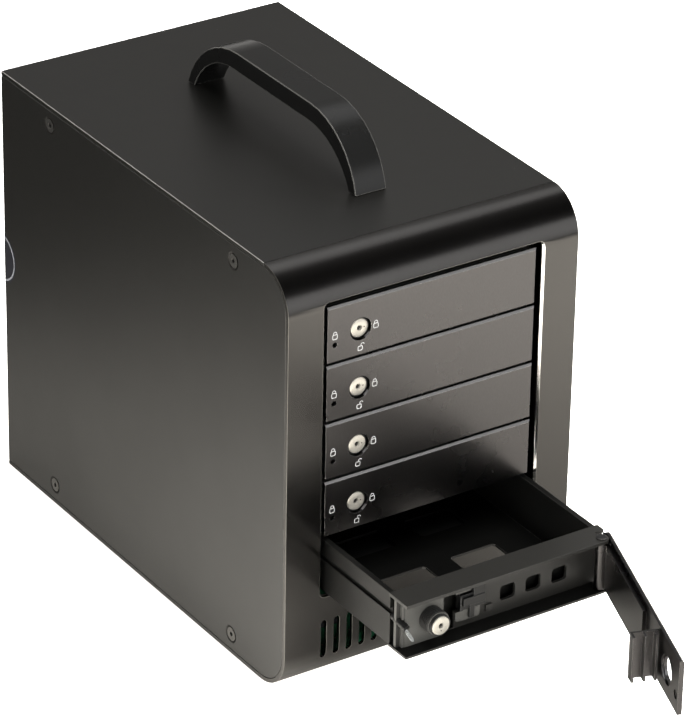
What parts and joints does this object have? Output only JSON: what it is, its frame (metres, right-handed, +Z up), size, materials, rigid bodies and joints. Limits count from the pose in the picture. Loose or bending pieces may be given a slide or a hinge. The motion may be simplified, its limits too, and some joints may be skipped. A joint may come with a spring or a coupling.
{
  "type": "network attached storage",
  "caption": "Black metal desktop storage enclosure with lever-door drive trays behind a rounded bezel, and a carrying handle on top.",
  "frame": {"origin": "under the middle of the object's box in the rest pose, on the surface that it stands on", "axes": "+X to the right seen from the front, +Y from the front bezel to the rear panel, +Z up"},
  "size_m": [0.1586, 0.4302, 0.253],
  "materials": {
    "case_black": "satin",
    "bezel_black": "satin",
    "door_black": "satin",
    "tray_black": "matte",
    "handle_black": "satin",
    "lock_steel": "satin",
    "black_plastic": "matte",
    "screw_black": "satin",
    "pin_steel": "satin",
    "cage_black": "satin",
    "zinc_plate": "satin",
    "circuit_green": "satin",
    "foot_rubber": "matte"
  },
  "bodies": {
    "case": {"front_bezel": "bezel_black", "top_cover": "case_black", "base_plate": "case_black", "left_side_panel": "case_black", "right_side_panel": "case_black", "rear_panel": "case_black", "handle": "handle_black", "side_screw_left_front_lower": "screw_black", "side_screw_left_front_upper": "screw_black", "side_screw_left_rear_lower": "screw_black", "side_screw_left_rear_upper": "screw_black", "side_screw_right_front_lower": "screw_black", "side_screw_right_front_upper": "screw_black", "side_screw_right_rear_lower": "screw_black", "side_screw_right_rear_upper": "screw_black", "foot_front_left": "foot_rubber", "foot_front_right": "foot_rubber", "foot_rear_left": "foot_rubber", "foot_rear_right": "foot_rubber", "drive_cage": "cage_black", "cage_top": "cage_black", "backplane_board": "circuit_green", "controller_board": "circuit_green", "port_jack": "zinc_plate", "power_supply": "zinc_plate", "fan_housing": "black_plastic", "fan_guard": "screw_black", "power_inlet": "black_plastic"},
    "fan_rotor": {"fan_rotor": "black_plastic"},
    "power_rocker": {"power_rocker": "black_plastic"},
    "tray_1": {"tray_1_carrier": "tray_black", "tray_1_head": "door_black", "tray_1_hinge_pin": "pin_steel"},
    "tray_1_door": {"tray_1_door": "door_black"},
    "tray_1_lock": {"tray_1_lock": "lock_steel"},
    "tray_1_latch": {"tray_1_latch": "black_plastic"},
    "tray_2": {"tray_2_carrier": "tray_black", "tray_2_head": "door_black", "tray_2_hinge_pin": "pin_steel"},
    "tray_2_door": {"tray_2_door": "door_black"},
    "tray_2_lock": {"tray_2_lock": "lock_steel"},
    "tray_2_latch": {"tray_2_latch": "black_plastic"},
    "tray_3": {"tray_3_carrier": "tray_black", "tray_3_head": "door_black", "tray_3_hinge_pin": "pin_steel"},
    "tray_3_door": {"tray_3_door": "door_black"},
    "tray_3_lock": {"tray_3_lock": "lock_steel"},
    "tray_3_latch": {"tray_3_latch": "black_plastic"},
    "tray_4": {"tray_4_carrier": "tray_black", "tray_4_head": "door_black", "tray_4_hinge_pin": "pin_steel"},
    "tray_4_door": {"tray_4_door": "door_black"},
    "tray_4_lock": {"tray_4_lock": "lock_steel"},
    "tray_4_latch": {"tray_4_latch": "black_plastic"},
    "tray_5": {"tray_5_carrier": "tray_black", "tray_5_head": "door_black", "tray_5_hinge_pin": "pin_steel"},
    "tray_5_door": {"tray_5_door": "door_black"},
    "tray_5_lock": {"tray_5_lock": "lock_steel"},
    "tray_5_latch": {"tray_5_latch": "black_plastic"}
  },
  "joints": [
    {"name": "fan_spin", "type": "hinge", "parent": "case", "child": "fan_rotor", "pos_m": [0, 0.19566, 0.131], "axis": [0, 1, 0], "continuous": true},
    {"name": "power_rocker_tilt", "type": "hinge", "parent": "case", "child": "power_rocker", "pos_m": [-0.026, 0.21076, 0.028], "axis": [1, 0, 0], "range_deg": [0, 16]},
    {"name": "tray_1_slide", "type": "slide", "parent": "case", "child": "tray_1", "axis": [0, -1, 0], "range_m": [0, 0.165]},
    {"name": "tray_1_door_swing", "type": "hinge", "parent": "tray_1", "child": "tray_1_door", "pos_m": [0.05225, -0.03864, 0.1868], "axis": [0, 0, 1], "range_deg": [0, 95]},
    {"name": "tray_1_lock_turn", "type": "hinge", "parent": "tray_1", "child": "tray_1_lock", "pos_m": [-0.03975, -0.04454, 0.1857], "axis": [0, 1, 0], "range_deg": [0, 90]},
    {"name": "tray_1_latch_slide", "type": "slide", "parent": "tray_1", "child": "tray_1_latch", "axis": [1, 0, 0], "range_m": [0, 0.0022]},
    {"name": "tray_2_slide", "type": "slide", "parent": "case", "child": "tray_2", "axis": [0, -1, 0], "range_m": [0, 0.165]},
    {"name": "tray_2_door_swing", "type": "hinge", "parent": "tray_2", "child": "tray_2_door", "pos_m": [0.05225, -0.03864, 0.1568], "axis": [0, 0, 1], "range_deg": [0, 95]},
    {"name": "tray_2_lock_turn", "type": "hinge", "parent": "tray_2", "child": "tray_2_lock", "pos_m": [-0.03975, -0.04454, 0.1557], "axis": [0, 1, 0], "range_deg": [0, 90]},
    {"name": "tray_2_latch_slide", "type": "slide", "parent": "tray_2", "child": "tray_2_latch", "axis": [1, 0, 0], "range_m": [0, 0.0022]},
    {"name": "tray_3_slide", "type": "slide", "parent": "case", "child": "tray_3", "axis": [0, -1, 0], "range_m": [0, 0.165]},
    {"name": "tray_3_door_swing", "type": "hinge", "parent": "tray_3", "child": "tray_3_door", "pos_m": [0.05225, -0.03864, 0.1268], "axis": [0, 0, 1], "range_deg": [0, 95]},
    {"name": "tray_3_lock_turn", "type": "hinge", "parent": "tray_3", "child": "tray_3_lock", "pos_m": [-0.03975, -0.04454, 0.1257], "axis": [0, 1, 0], "range_deg": [0, 90]},
    {"name": "tray_3_latch_slide", "type": "slide", "parent": "tray_3", "child": "tray_3_latch", "axis": [1, 0, 0], "range_m": [0, 0.0022]},
    {"name": "tray_4_slide", "type": "slide", "parent": "case", "child": "tray_4", "axis": [0, -1, 0], "range_m": [0, 0.165]},
    {"name": "tray_4_door_swing", "type": "hinge", "parent": "tray_4", "child": "tray_4_door", "pos_m": [0.05225, -0.03864, 0.0968], "axis": [0, 0, 1], "range_deg": [0, 95]},
    {"name": "tray_4_lock_turn", "type": "hinge", "parent": "tray_4", "child": "tray_4_lock", "pos_m": [-0.03975, -0.04454, 0.0957], "axis": [0, 1, 0], "range_deg": [0, 90]},
    {"name": "tray_4_latch_slide", "type": "slide", "parent": "tray_4", "child": "tray_4_latch", "axis": [1, 0, 0], "range_m": [0, 0.0022]},
    {"name": "tray_5_slide", "type": "slide", "parent": "case", "child": "tray_5", "axis": [0, -1, 0], "range_m": [-0.071, 0.094]},
    {"name": "tray_5_door_swing", "type": "hinge", "parent": "tray_5", "child": "tray_5_door", "pos_m": [0.05225, -0.10964, 0.0668], "axis": [0, 0, 1], "range_deg": [-70.4, 24.6]},
    {"name": "tray_5_lock_turn", "type": "hinge", "parent": "tray_5", "child": "tray_5_lock", "pos_m": [-0.03975, -0.11554, 0.0657], "axis": [0, 1, 0], "range_deg": [-90, 0]},
    {"name": "tray_5_latch_slide", "type": "slide", "parent": "tray_5", "child": "tray_5_latch", "axis": [1, 0, 0], "range_m": [-0.0022, 0]}
  ],
  "couplings": [
    {"joint": "tray_1_latch_slide", "follows": "tray_1_lock_turn", "m_per_rad": 0.0014004},
    {"joint": "tray_2_latch_slide", "follows": "tray_2_lock_turn", "m_per_rad": 0.0014004},
    {"joint": "tray_3_latch_slide", "follows": "tray_3_lock_turn", "m_per_rad": 0.0014004},
    {"joint": "tray_4_latch_slide", "follows": "tray_4_lock_turn", "m_per_rad": 0.0014004},
    {"joint": "tray_5_latch_slide", "follows": "tray_5_lock_turn", "m_per_rad": 0.0014004}
  ]
}
